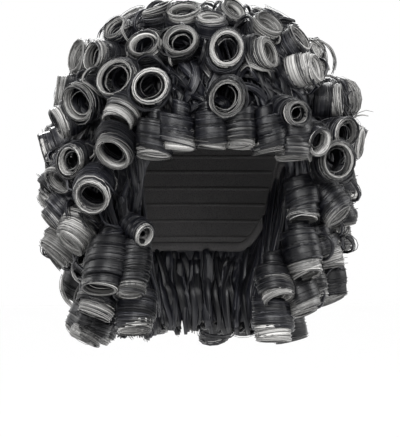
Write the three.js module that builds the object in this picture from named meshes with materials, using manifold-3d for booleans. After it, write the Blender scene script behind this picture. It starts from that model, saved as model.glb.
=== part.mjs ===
// Afro wig of barrel curls: a net cap worn on the head, a thick coat of under hair sewn round it, a fringe
// of short curls over the forehead, and open barrel curls (ringlets) standing out of the coat all over.
// Millimetres, +Z up, the face looks along -Y and the wearer's left is +X. The origin is the inside top of
// the cap, where the crown of the head sits.
import * as THREE from 'three';
import { mergeVertices } from 'three/addons/utils/BufferGeometryUtils.js';
import Module from 'manifold-3d';

// The head that the cap fits, measured on the inside of the cap
const HEAD_WIDTH = 154;
const HEAD_DEPTH = 194;
const HEAD_TOP = 95;
const HEAD_FALL = 120;
const NECK_TUCK = 0.28;

// The cap, and the clearance that sewn pieces keep from one another in this model
const CAP_WALL = 2;
const CLEARANCE = 0.3;

// The coat of under hair: sizes at its widest level, above that level and below it
const HAIR_WIDTH = 220;
const HAIR_FRONT = 109;
const HAIR_BACK = 118;
const HAIR_TOP = 111;
const HAIR_FALL = 160;
const CHEEK_FRONT = 80;
const CHEEK_RISE = -0.3;
const DOME_POWER = 0.4;
const HEM_TUCK = 0.36;
const HEM_POWER = 2.3;
const HEM_RISE = -0.94;

// The opening for the face
const BROW_DROP = 62;
const FACE_WIDTH = 132;
const NECK_GAP = 100;
const MOUTH_RISE = -0.5;
const BROW_ROUND = 0.4;

// A ringlet of share 1: outer width, length, wall of the roll, and how deep its root is sewn in
const CURL_WIDTH = 30;
const CURL_LENGTH = 38;
const CURL_WALL = 5;
const CURL_SEAT = 4;
const ROOT_SHARE = 0.78;
const HOLLOW_SHARE = 0.7;

// The level where the head and the coat are widest
const WIDEST = -HEAD_TOP;

// How far a cut runs past what it cuts, the step that slopes are taken over, and the slivers cleaned away
const PAST = 1.2;
const SMALL_STEP = 0.01;
const SLIVER = 0.05;

// The ringlets that show from the front, one row each; left and right are as seen from there. bearing:
// degrees round the head from the face, plus towards +X. rise: height on the coat, 1 at the crown, 0 at the
// widest level, -1 at the lowest curls. aim and lift: bearing and elevation of the way the open end faces.
// reach and girth: shares of CURL_LENGTH and CURL_WIDTH. A curl gives way to those above it in the table.
const COLUMNS = ['name', 'bearing', 'rise', 'aim', 'lift', 'reach', 'girth'];
const RINGLETS = table(COLUMNS, [
  ['front_ringlet_1', -30, 0.47, -12, 0, 1.0, 1.15],
  ['front_ringlet_2', -2, 0.38, -8, 0, 1.0, 1.15],
  ['front_ringlet_3', 1, 0.69, -5, 14, 0.95, 1.15],
  ['front_ringlet_4', -20, 0.73, -12, 18, 0.95, 1.05],
  ['front_ringlet_5', -40, 0.73, -34, 22, 0.9, 1.0],
  ['front_ringlet_6', -47, 0.51, -30, 5, 0.95, 1.15],
  ['front_ringlet_7', 27, 0.29, 18, -5, 1.0, 0.92],
  ['crown_ringlet_1', -26, 0.93, -15, 50, 0.9, 0.95],
  ['crown_ringlet_2', -4, 0.89, -10, 65, 0.9, 0.92],
  ['crown_ringlet_3', 19, 0.94, 25, 42, 0.9, 0.85],
  ['crown_ringlet_4', -56, 0.94, -60, 60, 0.9, 0.95],
  ['crown_ringlet_5', 32, 0.85, 45, 40, 0.9, 0.95],
  ['left_ringlet_1', -70, 0.67, -66, 2, 0.9, 1.05],
  ['left_ringlet_2', -72, 0.83, -60, 36, 0.9, 0.9],
  ['left_ringlet_3', -98, 0.44, -88, 8, 0.9, 1.0],
  ['left_ringlet_4', -66, 0.38, -48, -15, 0.9, 1.15],
  ['left_ringlet_5', -79, 0.24, -80, -25, 0.9, 1.05],
  ['left_ringlet_6', -46, 0.26, -42, -50, 0.95, 1.0],
  ['right_ringlet_1', 45, 0.0, 10, 8, 0.95, 1.15],
  ['right_ringlet_2', 52, 0.18, 34, 4, 0.95, 1.0],
  ['right_ringlet_3', 36, 0.12, 32, -20, 0.9, 0.85],
  ['right_ringlet_4', 20, 0.66, 42, 8, 1.0, 0.95],
  ['right_ringlet_5', 50, 0.77, 60, 40, 0.9, 1.0],
  ['right_ringlet_6', 42, 0.56, 62, 16, 1.0, 0.95],
  ['right_ringlet_7', 61, 0.42, 76, 2, 0.8, 1.0],
  ['right_ringlet_8', 69, 0.12, 64, -14, 0.95, 0.95],
  ['left_ringlet_7', -44, 0.05, -20, -35, 0.95, 1.1],
  ['left_ringlet_8', -64, 0.0, -38, -12, 0.95, 0.95],
  ['left_ringlet_9', -75, -0.09, -72, -30, 0.9, 1.0],
  ['left_ringlet_10', -52, -0.12, -24, -32, 1.0, 1.15],
  ['left_ringlet_11', -96, -0.14, -98, -44, 0.9, 0.95],
  ['left_ringlet_12', -84, -0.33, -88, -46, 0.95, 1.0],
  ['left_ringlet_13', -68, -0.42, -66, -52, 1.0, 1.1],
  ['left_ringlet_14', -90, -0.48, -90, -50, 1.0, 1.05],
  ['left_ringlet_15', -33, -0.39, 25, -20, 0.9, 0.72],
  ['left_ringlet_16', -51, -0.62, -36, -58, 1.5, 1.2],
  ['left_ringlet_17', -40, -0.66, -22, -70, 1.4, 1.0],
  ['left_ringlet_18', -61, -0.76, -56, -66, 1.1, 1.1],
  ['left_ringlet_19', -44, -0.86, -32, -75, 1.0, 1.05],
  ['left_ringlet_20', -84, -0.9, -70, -68, 1.0, 1.0],
  ['right_ringlet_9', 53, -0.25, 50, -54, 1.0, 1.0],
  ['right_ringlet_10', 72, -0.34, 76, -74, 1.0, 0.9],
  ['right_ringlet_11', 37, -0.3, 28, -74, 1.0, 0.95],
  ['right_ringlet_12', 40, -0.58, 30, -72, 1.2, 1.1],
  ['right_ringlet_13', 62, -0.54, 62, -74, 1.0, 0.95],
  ['right_ringlet_14', 27, -0.7, 8, -62, 1.0, 1.0],
  ['right_ringlet_15', 57, -0.72, 66, -76, 0.9, 0.85],
  ['right_ringlet_16', 43, -0.78, 40, -66, 1.0, 1.0],
  ['right_ringlet_17', 30, -0.91, 20, -78, 1.1, 1.15],
  ['fringe_curl_1', -31, 0.05, -33, -84, 0.9, 0.88],
  ['fringe_curl_2', -20, 0.1, -20, -84, 0.9, 0.88],
  ['fringe_curl_3', -7, 0.11, -7, -84, 0.9, 0.88],
  ['fringe_curl_4', 6, 0.12, 6, -84, 0.9, 0.88],
  ['fringe_curl_5', 19, 0.08, 19, -84, 0.9, 0.88],
  ['fringe_curl_6', 30, 0.02, 30, -82, 0.7, 0.88],
]);

// The rows of ringlets round the back, fused to the coat. count curls stand at rise, spread evenly from
// bearing start to bearing end through the back of the head; lift is the elevation of their open ends.
// By chance each one lies a little off its row, and low on the right they hang closer to the coat.
const BACK_ROWS = table(['rise', 'start', 'end', 'count', 'lift', 'reach', 'girth'], [
  [0.98, 180, 180, 1, 80, 0.9, 1.1],
  [0.9, 76, 256, 6, 56, 0.9, 1.15],
  [0.66, 82, 262, 8, 26, 0.9, 1.15],
  [0.38, 92, 252, 9, -2, 0.9, 1.15],
  [0.08, 84, 258, 9, -26, 0.95, 1.15],
  [-0.2, 88, 254, 9, -42, 1.0, 1.15],
  [-0.46, 84, 256, 9, -52, 1.0, 1.15],
  [-0.7, 78, 260, 8, -60, 1.0, 1.1],
  [-0.9, 108, 264, 7, -68, 1.0, 1.1],
]);

const BACK_CHANCE = { bearing: 4, rise: 0.03, aim: 15, lift: 11, girth: 0.09 };
const CLOSE_BEARING = 85;
const CLOSE_SPREAD = 40;
const CLOSE_RISE = -0.1;
const CLOSE_DROP = 34;
const STEEPEST = -80;

// The cap's edge seen from the side. depth and drop: shares of half HEAD_DEPTH (plus to the back) and of
// HEAD_TOP below the crown.
const CAP_EDGE = table(['depth', 'drop'], [
  [-1.3, 0.5],
  [-0.5, 0.86],
  [-0.3, 1.22],
  [-0.1, 1.22],
  [0.0, 1.0],
  [0.3, 1.02],
  [0.42, 1.5],
  [0.6, 1.84],
  [1.3, 1.84],
]);

const COAT_SIDES = 26;
const CAP_SIDES = 24;
const RINGLET_SIDES = 10;
const BACK_SIDES = 8;
const COAT_RISES = [1, 0.97, 0.86, 0.66, 0.36, 0, -0.25, -0.6, HEM_RISE];
const HEAD_RISES = [1, 0.97, 0.86, 0.64, 0.34, 0, -0.4, -0.75, -1];

const wasm = await Module();
wasm.setup();

// Gives each row of a table its column names.
function table(columns, rows) {
  return rows.map((row) => Object.fromEntries(columns.map((column, i) => [column, row[i]])));
}

// A direction from its bearing round the head and its elevation.
function direction(bearing, lift) {
  const turn = THREE.MathUtils.degToRad(bearing);
  const up = THREE.MathUtils.degToRad(lift);
  return new THREE.Vector3(Math.cos(up) * Math.sin(turn), -Math.cos(up) * Math.cos(turn), Math.sin(up));
}

// A point of the head, or of a skin that lies outside it by out.
function headPoint(bearing, rise, out = 0) {
  const tuck = NECK_TUCK * Math.max(rise, -1) ** 2;
  const share = rise > 0 ? Math.sqrt(1 - rise ** 2) : 1 - tuck;
  const wall = rise > 0 ? out * share : out;
  const heading = direction(bearing, 0);
  return new THREE.Vector3(
    heading.x * (HEAD_WIDTH / 2 * share + wall),
    heading.y * (HEAD_DEPTH / 2 * share + wall),
    WIDEST + rise * (rise > 0 ? HEAD_TOP + out : HEAD_FALL),
  );
}

// A point of the coat of under hair. The front is flatter at the cheeks than over the forehead.
function hairPoint(bearing, rise, out = 0) {
  const share = rise > 0
    ? (1 - rise ** 2) ** DOME_POWER
    : 1 - HEM_TUCK * Math.abs(rise) ** HEM_POWER;
  const heading = direction(bearing, 0);
  const cheek = THREE.MathUtils.smoothstep(-rise, 0, -CHEEK_RISE);
  const front = THREE.MathUtils.lerp(HAIR_FRONT, CHEEK_FRONT, cheek);
  const depth = heading.y < 0 ? front : HAIR_BACK;
  const reach = rise > 0 ? HAIR_TOP : HAIR_FALL;
  return new THREE.Vector3(
    heading.x * (HAIR_WIDTH / 2 + out) * share,
    heading.y * (depth + out) * share,
    WIDEST + (reach + out) * rise,
  );
}

// The coat's outward normal.
function hairNormal(bearing, rise) {
  const level = Math.min(rise, 1 - 3 * SMALL_STEP);
  const along = hairPoint(bearing + 1, level).sub(hairPoint(bearing - 1, level));
  const up = hairPoint(bearing, level + SMALL_STEP).sub(hairPoint(bearing, level - SMALL_STEP));
  return along.cross(up).normalize();
}

// A closed solid from a three.js geometry.
function solid(geometry) {
  geometry.deleteAttribute('normal');
  geometry.deleteAttribute('uv');
  const welded = mergeVertices(geometry);
  const index = welded.index.array;
  const faces = [];
  for (let i = 0; i < index.length; i += 3) {
    const [a, b, c] = [index[i], index[i + 1], index[i + 2]];
    if (a !== b && b !== c && c !== a) {
      faces.push(a, b, c);
    }
  }
  return new wasm.Manifold(new wasm.Mesh({
    numProp: 3,
    vertProperties: Float32Array.from(welded.attributes.position.array),
    triVerts: Uint32Array.from(faces),
  }));
}

// A round skin: a lathe of unit rings, one for each rise, whose points are then moved onto the surface
// that pointAt describes. A flat lid closes it below the last ring.
function skin(rises, sides, pointAt) {
  const profile = rises.map((rise) => new THREE.Vector2(rise === 1 ? 0 : 1, rise));
  profile.push(new THREE.Vector2(0, rises.at(-1)));
  const geometry = new THREE.LatheGeometry(profile.reverse(), sides);
  const position = geometry.attributes.position;
  for (let i = 0; i < position.count; i += 1) {
    const [across, rise, ahead] = [position.getX(i), position.getY(i), position.getZ(i)];
    const bearing = THREE.MathUtils.radToDeg(Math.atan2(across, ahead));
    const place = pointAt(bearing, rise);
    const onAxis = Math.hypot(across, ahead) < SMALL_STEP;
    position.setXYZ(i, onAxis ? 0 : place.x, onAxis ? 0 : place.y, place.z);
  }
  return solid(geometry);
}

// The head and neck, grown by out, with the neck carried on down past the hem.
function headRoom(out) {
  const pastHem = -PAST * HAIR_FALL / HEAD_FALL;
  return skin([...HEAD_RISES, pastHem], CAP_SIDES, (bearing, rise) => headPoint(bearing, rise, out));
}

// The opening for the face, cut from the front to the middle of the head and widened by out.
function faceOpening(out) {
  const depth = PAST * HAIR_FRONT;
  const cheek = FACE_WIDTH / 2 + out;
  const neck = NECK_GAP / 2 + out;
  const brow = -BROW_DROP + out;
  const mouth = WIDEST + MOUTH_RISE * HAIR_FALL;
  const floor = WIDEST - PAST * HAIR_FALL;
  const corner = BROW_ROUND * FACE_WIDTH;
  const arch = new THREE.Shape();
  arch.moveTo(-neck, floor);
  arch.lineTo(neck, floor);
  arch.lineTo(neck, WIDEST - HAIR_FALL);
  arch.lineTo(cheek, mouth);
  arch.lineTo(cheek, brow - corner);
  arch.quadraticCurveTo(cheek, brow, cheek - corner, brow);
  arch.lineTo(corner - cheek, brow);
  arch.quadraticCurveTo(-cheek, brow, -cheek, brow - corner);
  arch.lineTo(-cheek, mouth);
  arch.lineTo(-neck, WIDEST - HAIR_FALL);
  const geometry = new THREE.ExtrudeGeometry(arch, { depth, bevelEnabled: false, curveSegments: 3 });
  geometry.rotateX(Math.PI / 2);
  return solid(geometry);
}

// The coat of under hair, grown all over by out.
function coat(out) {
  return skin(COAT_RISES, COAT_SIDES, (bearing, rise) => hairPoint(bearing, rise, out))
    .subtract(headRoom(CAP_WALL + CLEARANCE - out))
    .subtract(faceOpening(-out));
}

// The net cap: the skin over the head, trimmed to its edge over the brow, ears and nape.
function cap() {
  const edge = CAP_EDGE.map(({ depth, drop }) => new THREE.Vector2(depth * HEAD_DEPTH / 2, -drop * HEAD_TOP));
  const side = new THREE.Shape([
    new THREE.Vector2(edge[0].x, HEAD_TOP),
    ...edge,
    new THREE.Vector2(edge.at(-1).x, HEAD_TOP),
  ]);
  const trim = new THREE.ExtrudeGeometry(side, { depth: PAST * HEAD_WIDTH, bevelEnabled: false });
  trim.translate(0, 0, -PAST * HEAD_WIDTH / 2);
  trim.applyMatrix4(new THREE.Matrix4().makeBasis(
    new THREE.Vector3(0, 1, 0), new THREE.Vector3(0, 0, 1), new THREE.Vector3(1, 0, 0),
  ));
  return headRoom(CAP_WALL).subtract(headRoom(0)).intersect(solid(trim));
}

// One barrel curl along +Y from its root at 0, a hollow roll that opens at its far end. grow makes it
// wider all round and longer.
function barrel(reach, girth, sides, grow = 0) {
  const length = CURL_LENGTH * reach;
  const radius = CURL_WIDTH / 2 * girth + grow;
  const root = CURL_WIDTH / 2 * girth * ROOT_SHARE + grow;
  const bore = radius - CURL_WALL;
  const roll = [[0, -grow], [root, -grow], [radius, length + grow], [0, length + grow]];
  const open = [[0, 0], [root, 0], [radius, length], [bore, length], [0, length * (1 - HOLLOW_SHARE)]];
  const profile = grow > 0 ? roll : open;
  return new THREE.LatheGeometry(profile.map(([x, y]) => new THREE.Vector2(x, y)), sides);
}

// Where a ringlet of the table stands: its root, with +Y turned to the way its open end faces. The stand
// of its open end over the coat follows from its length, width and slant, so its root is always sewn in.
function placement({ bearing, rise, aim, lift, reach, girth }) {
  const heading = direction(aim, lift);
  const normal = hairNormal(bearing, rise);
  const slant = heading.dot(normal);
  const flat = Math.sqrt(1 - slant ** 2);
  const length = CURL_LENGTH * reach;
  const rootEdge = CURL_WIDTH / 2 * girth * ROOT_SHARE * flat;
  const stand = length * Math.max(0, slant) + rootEdge - CURL_SEAT;
  const root = hairPoint(bearing, rise).addScaledVector(normal, stand).addScaledVector(heading, -length);
  const turn = new THREE.Quaternion().setFromUnitVectors(new THREE.Vector3(0, 1, 0), heading);
  return new THREE.Matrix4().compose(root, turn, new THREE.Vector3(1, 1, 1));
}

// A ringlet as a solid in its place.
function ringletSolid(row, sides, grow = 0) {
  return solid(barrel(row.reach, row.girth, sides, grow).applyMatrix4(placement(row)));
}

// The largest of the bodies that a cut leaves.
function largest(body) {
  const pieces = body.simplify(SLIVER).decompose();
  return pieces.reduce((best, piece) => (piece.volume() > best.volume() ? piece : best));
}

// A named mesh of a solid. Its place is kept as the mesh's position and rotation.
function pieceMesh(name, body, material, place = new THREE.Matrix4()) {
  const { vertProperties, triVerts } = body.getMesh();
  const geometry = new THREE.BufferGeometry();
  geometry.setAttribute('position', new THREE.BufferAttribute(vertProperties, 3));
  geometry.setIndex(new THREE.BufferAttribute(triVerts, 1));
  geometry.applyMatrix4(place.clone().invert());
  geometry.computeVertexNormals();
  const mesh = new THREE.Mesh(geometry, material);
  mesh.name = name;
  mesh.applyMatrix4(place);
  return mesh;
}

// The ringlets round the back, worked out row by row. chance is between -1 and 1 and has no pattern that
// shows.
function backRinglets() {
  return BACK_ROWS.flatMap(({ rise, start, end, count, lift, reach, girth }, row) => (
    Array.from({ length: count }, (_, i) => {
      const chance = (step) => Math.sin(step * (10 * row + i + 1));
      const stagger = row % 2 ? 0 : 0.5;
      const bearing = start + (end - start) * (i + stagger) / (count - 0.5);
      const away = (bearing - CLOSE_BEARING) / CLOSE_SPREAD;
      const drop = rise < CLOSE_RISE ? CLOSE_DROP * Math.exp(-(away ** 2)) : 0;
      return {
        bearing: bearing + BACK_CHANCE.bearing * chance(2.4),
        rise: Math.min(rise + BACK_CHANCE.rise * chance(3.7), 0.98),
        aim: bearing + BACK_CHANCE.aim * chance(4.1),
        lift: Math.max(lift - drop + BACK_CHANCE.lift * chance(5.3), STEEPEST),
        reach,
        girth: girth * (1 + BACK_CHANCE.girth * chance(2.9)),
      };
    })
  ));
}

const netCap = new THREE.MeshStandardMaterial({ color: 0x1b1a1a, roughness: 0.9, metalness: 0 });
const blackHair = new THREE.MeshStandardMaterial({ color: 0x15161a, roughness: 0.4, metalness: 0 });
const silverHair = new THREE.MeshStandardMaterial({ color: 0x8b8884, roughness: 0.35, metalness: 0 });

const wig = new THREE.Group();
wig.add(pieceMesh('wig_cap', cap(), netCap));

const grownCoat = coat(CLEARANCE);
const taken = [];
for (const row of RINGLETS) {
  const clear = taken.reduce((body, other) => body.subtract(other), ringletSolid(row, RINGLET_SIDES));
  const body = largest(clear.subtract(grownCoat));
  wig.add(pieceMesh(row.name, body, silverHair, placement(row)));
  taken.push(ringletSolid(row, RINGLET_SIDES, CLEARANCE));
}

const backs = backRinglets().map((row) => ringletSolid(row, BACK_SIDES));
const clearBacks = taken.reduce((body, other) => body.subtract(other), wasm.Manifold.union(backs));
const headSpace = headRoom(CAP_WALL + CLEARANCE);
const fullCoat = largest(coat(0).add(clearBacks.subtract(headSpace)));
wig.add(pieceMesh('hair_coat', fullCoat, blackHair));

export default wig;
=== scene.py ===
# Afro wig of barrel curls: a net cap, a thick coat of under hair sewn round it, and open barrel curls of
# black hair with silver ends standing out of the coat all over. Metres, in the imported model's own frame:
# +Z up, the face opening looks along -Y, and the origin is the inside top of the cap.
import math

import bmesh
import bpy
import numpy as np
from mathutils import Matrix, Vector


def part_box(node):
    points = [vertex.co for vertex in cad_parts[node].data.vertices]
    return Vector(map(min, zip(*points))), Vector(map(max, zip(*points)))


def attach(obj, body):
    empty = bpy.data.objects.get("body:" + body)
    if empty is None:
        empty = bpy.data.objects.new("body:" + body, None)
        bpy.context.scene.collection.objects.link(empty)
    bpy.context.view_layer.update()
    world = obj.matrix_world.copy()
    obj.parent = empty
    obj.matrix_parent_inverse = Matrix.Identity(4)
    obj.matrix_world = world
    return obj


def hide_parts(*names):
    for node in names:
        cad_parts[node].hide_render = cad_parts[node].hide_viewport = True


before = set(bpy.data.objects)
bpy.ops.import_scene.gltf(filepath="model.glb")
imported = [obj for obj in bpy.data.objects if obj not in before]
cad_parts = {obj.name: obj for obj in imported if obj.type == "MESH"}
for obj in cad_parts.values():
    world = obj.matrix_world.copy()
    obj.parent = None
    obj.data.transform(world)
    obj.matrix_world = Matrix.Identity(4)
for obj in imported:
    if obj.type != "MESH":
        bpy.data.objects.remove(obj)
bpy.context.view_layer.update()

# The net cap.
# Black elastic net shaped as a deep dome, 2 mm thick, with a folded band sewn round its edge and rows of
# wefts stitched on from ear to ear. It is open at the face, over the ears and below.
CAP_WALL = 0.002
cap_low, cap_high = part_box("wig_cap")
HEAD_HALF_WIDTH = (cap_high.x - cap_low.x) / 2 - CAP_WALL
HEAD_HALF_DEPTH = cap_high.y - CAP_WALL
HEAD_TOP = 0.095
HEAD_FALL = 0.120
NECK_TUCK = 0.28
WIDEST = -HEAD_TOP
CAP_EDGE_DEPTHS = (-1.3, -0.5, -0.3, -0.1, 0.0, 0.3, 0.42, 0.6, 1.3)
CAP_EDGE_DROPS = (0.5, 0.86, 1.22, 1.22, 1.0, 1.02, 1.5, 1.84, 1.84)
WEFT_ROWS = 13
WEFT_GAP = 0.012


def head_point(bearing, rise, out=0.0):
    """Points of the cap's inside, or of a skin outside it by out, from bearings in degrees and rises."""
    turn = np.radians(bearing)
    rise = np.asarray(rise, dtype=float)
    upper = np.sqrt(np.clip(1 - rise ** 2, 0, 1))
    lower = 1 - NECK_TUCK * np.maximum(rise, -1) ** 2
    share = np.where(rise > 0, upper, lower)
    wall = np.where(rise > 0, out * share, out)
    x = np.sin(turn) * (HEAD_HALF_WIDTH * share + wall)
    y = -np.cos(turn) * (HEAD_HALF_DEPTH * share + wall)
    z = WIDEST + rise * np.where(rise > 0, HEAD_TOP + out, HEAD_FALL)
    return np.stack(np.broadcast_arrays(x, y, z), axis=-1)


def unit(vectors):
    """The vectors at length 1."""
    return vectors / np.maximum(np.linalg.norm(vectors, axis=-1, keepdims=True), 1e-9)


def round_section(half_width, half_depth, sides, start=0.0):
    """An oval section, as shares along the strand of its half width and half depth."""
    turn = start + 2 * np.pi * np.arange(sides) / sides
    wide = np.asarray(half_width)[..., None] * np.cos(turn)
    deep = np.asarray(half_depth)[..., None] * np.sin(turn)
    return np.stack([wide, deep], axis=-1)


def sweep(paths, across, section, silver=0.0, shade=0.5):
    """Strands along paths of points (strand, step, xyz), joined: corners, faces, thread UV and shades.

    section holds the outline's points at each step, along across and at right angles to it."""
    count, steps = paths.shape[:2]
    along = unit(np.gradient(paths, axis=1))
    across = np.broadcast_to(across, paths.shape)
    wide = unit(across - along * np.sum(across * along, axis=-1, keepdims=True))
    deep = np.cross(along, wide)
    sides = section.shape[-2]
    section = np.broadcast_to(section, (count, steps, sides, 2))
    ring = wide[:, :, None] * section[..., :1] + deep[:, :, None] * section[..., 1:]
    corners = (paths[:, :, None] + ring).reshape(-1, 3)

    side = np.arange(sides)[None, None, :]
    here = np.arange(count)[:, None, None] * steps * sides + np.arange(steps - 1)[None, :, None] * sides
    quads = np.stack([
        here + side,
        here + (side + 1) % sides,
        here + sides + (side + 1) % sides,
        here + sides + side,
    ], axis=-1).reshape(-1, 4)
    first = np.arange(count)[:, None] * steps * sides + np.arange(sides)[None, ::-1]
    last = np.arange(count)[:, None] * steps * sides + (steps - 1) * sides + np.arange(sides)[None, :]
    caps = np.concatenate([first, last])

    def at_corners(values):
        """One value for each strand, step or corner, as a value for each corner."""
        values = np.asarray(values, dtype=float)
        values = values if values.ndim == 3 else np.broadcast_to(values, (count, steps))[..., None]
        return np.broadcast_to(values, (count, steps, sides)).ravel()

    # The thread UV is in metres: along the strand, and round its section.
    lengths = np.linalg.norm(np.diff(paths, axis=1), axis=-1)
    run = np.concatenate([np.zeros((count, 1)), np.cumsum(lengths, axis=1)], axis=1)
    outline = section.mean(axis=1)
    faces_round = np.linalg.norm(np.roll(outline, -1, axis=1) - outline, axis=-1)
    round_end = np.cumsum(faces_round, axis=1) + np.arange(count)[:, None] * 0.0137
    round_start = round_end - faces_round
    shape = (count, steps - 1, sides)
    start = np.broadcast_to(run[:, :-1, None], shape)
    end = np.broadcast_to(run[:, 1:, None], shape)
    low = np.broadcast_to(round_start[:, None, :], shape)
    high = np.broadcast_to(round_end[:, None, :], shape)
    quad_uv = np.stack([
        np.stack([start, low], axis=-1),
        np.stack([start, high], axis=-1),
        np.stack([end, high], axis=-1),
        np.stack([end, low], axis=-1),
    ], axis=3).reshape(-1, 2)
    return {
        "corners": corners,
        "loops": np.concatenate([quads.ravel(), caps.ravel()]),
        "sizes": np.concatenate([np.full(len(quads), 4), np.full(len(caps), sides)]),
        "uv": np.concatenate([quad_uv, np.zeros((caps.size, 2))]),
        "silver": at_corners(silver),
        "shade": at_corners(shade),
    }


def joined(name, bundles, material):
    """One object of several bundles of strands."""
    offset = 0
    loops = []
    for bundle in bundles:
        loops.append(bundle["loops"] + offset)
        offset += len(bundle["corners"])
    loops = np.concatenate(loops).astype(np.int32)
    corners = np.concatenate([bundle["corners"] for bundle in bundles]).astype(np.float32)
    sizes = np.concatenate([bundle["sizes"] for bundle in bundles]).astype(np.int32)
    starts = np.concatenate([[0], np.cumsum(sizes)[:-1]]).astype(np.int32)
    mesh = bpy.data.meshes.new(name)
    mesh.vertices.add(len(corners))
    mesh.vertices.foreach_set("co", corners.ravel())
    mesh.loops.add(len(loops))
    mesh.loops.foreach_set("vertex_index", loops)
    mesh.polygons.add(len(sizes))
    mesh.polygons.foreach_set("loop_start", starts)
    mesh.polygons.foreach_set("use_smooth", np.ones(len(sizes), dtype=bool))
    mesh.update(calc_edges=True)
    uv = mesh.uv_layers.new(name="thread")
    uv.data.foreach_set("uv", np.concatenate([b["uv"] for b in bundles]).astype(np.float32).ravel())
    for key in ("silver", "shade"):
        values = np.concatenate([bundle[key] for bundle in bundles]).astype(np.float32)
        mesh.attributes.new(key, "FLOAT", "POINT").data.foreach_set("value", values)
    mesh.materials.append(material)
    piece = bpy.data.objects.new(name, mesh)
    bpy.context.collection.objects.link(piece)
    return piece


def new_material(name):
    """An empty node material: the material, its nodes and links, and its shader."""
    material = bpy.data.materials.new(name)
    material.use_nodes = True
    nodes = material.node_tree.nodes
    return material, nodes, material.node_tree.links, nodes["Principled BSDF"]


def net_material():
    """Black elastic net: a fine woven mesh of matt yarn in relief, on Object coordinates."""
    material, nodes, links, shader = new_material("elastic_net")
    place = nodes.new("ShaderNodeTexCoord")
    yarns = nodes.new("ShaderNodeTexVoronoi")
    yarns.feature = "DISTANCE_TO_EDGE"
    yarns.inputs["Scale"].default_value = 620
    links.new(place.outputs["Object"], yarns.inputs["Vector"])
    tone = nodes.new("ShaderNodeValToRGB")
    tone.color_ramp.elements[0].color = (0.030, 0.028, 0.028, 1)
    tone.color_ramp.elements[1].color = (0.007, 0.007, 0.008, 1)
    tone.color_ramp.elements[1].position = 0.35
    links.new(yarns.outputs["Distance"], tone.inputs["Fac"])
    links.new(tone.outputs["Color"], shader.inputs["Base Color"])
    relief = nodes.new("ShaderNodeBump")
    relief.invert = True
    relief.inputs["Strength"].default_value = 0.6
    relief.inputs["Distance"].default_value = 0.0006
    links.new(yarns.outputs["Distance"], relief.inputs["Height"])
    links.new(relief.outputs["Normal"], shader.inputs["Normal"])
    shader.inputs["Roughness"].default_value = 0.85
    return material


def cap_edge_rise(bearing):
    """The rise of the cap's edge at a bearing."""
    rises = np.linspace(0.6, -0.75, 271)
    points = head_point(bearing, rises)
    edge = -HEAD_TOP * np.interp(points[:, 1] / HEAD_HALF_DEPTH, CAP_EDGE_DEPTHS, CAP_EDGE_DROPS)
    return rises[np.argmax(points[:, 2] <= edge)]


def cap_skin():
    """The sewn net, spun as a dome and then let down to the cap's edge at each bearing."""
    rings = 26
    bearings = 72
    mesh = bmesh.new()
    shares = [i / rings for i in range(rings + 1)]
    profile = [mesh.verts.new((math.sin(share * math.pi / 2), 0, 1 - share)) for share in shares]
    edges = [mesh.edges.new(pair) for pair in zip(profile, profile[1:])]
    bmesh.ops.spin(
        mesh, geom=profile + edges, axis=(0, 0, 1), cent=(0, 0, 0), angle=2 * math.pi, steps=bearings,
        use_merge=True, use_duplicate=False,
    )
    bmesh.ops.remove_doubles(mesh, verts=mesh.verts, dist=1e-5)
    for vert in mesh.verts:
        bearing = math.degrees(math.atan2(vert.co.x, -vert.co.y))
        lowest = float(cap_edge_rise(bearing))
        fall = (1 - vert.co.z) ** 0.8
        angle = fall * math.acos(max(-1.0, min(1.0, lowest))) if lowest > 0 else 0
        rise = math.cos(angle) if lowest > 0 else math.cos(fall * math.pi / 2) + lowest * fall ** 2
        vert.co = head_point(bearing, min(rise, 1), CAP_WALL / 2)
    bmesh.ops.recalc_face_normals(mesh, faces=mesh.faces)
    data = bpy.data.meshes.new("cap_net")
    mesh.to_mesh(data)
    mesh.free()
    data.polygons.foreach_set("use_smooth", np.ones(len(data.polygons), dtype=bool))
    piece = bpy.data.objects.new("cap_net", data)
    bpy.context.collection.objects.link(piece)
    wall = piece.modifiers.new("wall", "SOLIDIFY")
    wall.thickness = CAP_WALL
    wall.offset = 0
    return piece


elastic_net = net_material()
cap_net = cap_skin()
cap_net.data.materials.append(elastic_net)

edge_bearings = np.linspace(0, 360, 181)
edge_rises = np.array([cap_edge_rise(bearing) for bearing in edge_bearings])
edge_rises = np.convolve(np.pad(edge_rises, 3, mode="wrap"), np.full(7, 1 / 7), mode="valid")
edge_path = head_point(edge_bearings, edge_rises, CAP_WALL / 2)[None]
edge_out = unit(head_point(edge_bearings, edge_rises, 0.01) - edge_path[0])[None]
cap_bands = [sweep(edge_path, edge_out, round_section(0.0018, 0.0045, 8))]
for row in range(WEFT_ROWS):
    row_rise = 0.92 - row * WEFT_GAP / HEAD_TOP
    row_bearings = np.linspace(62, 298, 61)
    row_edge = np.array([cap_edge_rise(bearing) for bearing in row_bearings])
    row_path = head_point(row_bearings, np.maximum(row_rise, row_edge + 0.03), 0.0002)[None]
    row_out = unit(head_point(row_bearings, row_rise, 0.01) - row_path[0])[None]
    cap_bands.append(sweep(row_path, row_out, round_section(0.0007, 0.0022, 6)))
cap_wefts = joined("cap_wefts", cap_bands, elastic_net)
for piece in (cap_net, cap_wefts):
    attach(piece, "root")
    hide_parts("wig_cap")

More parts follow.
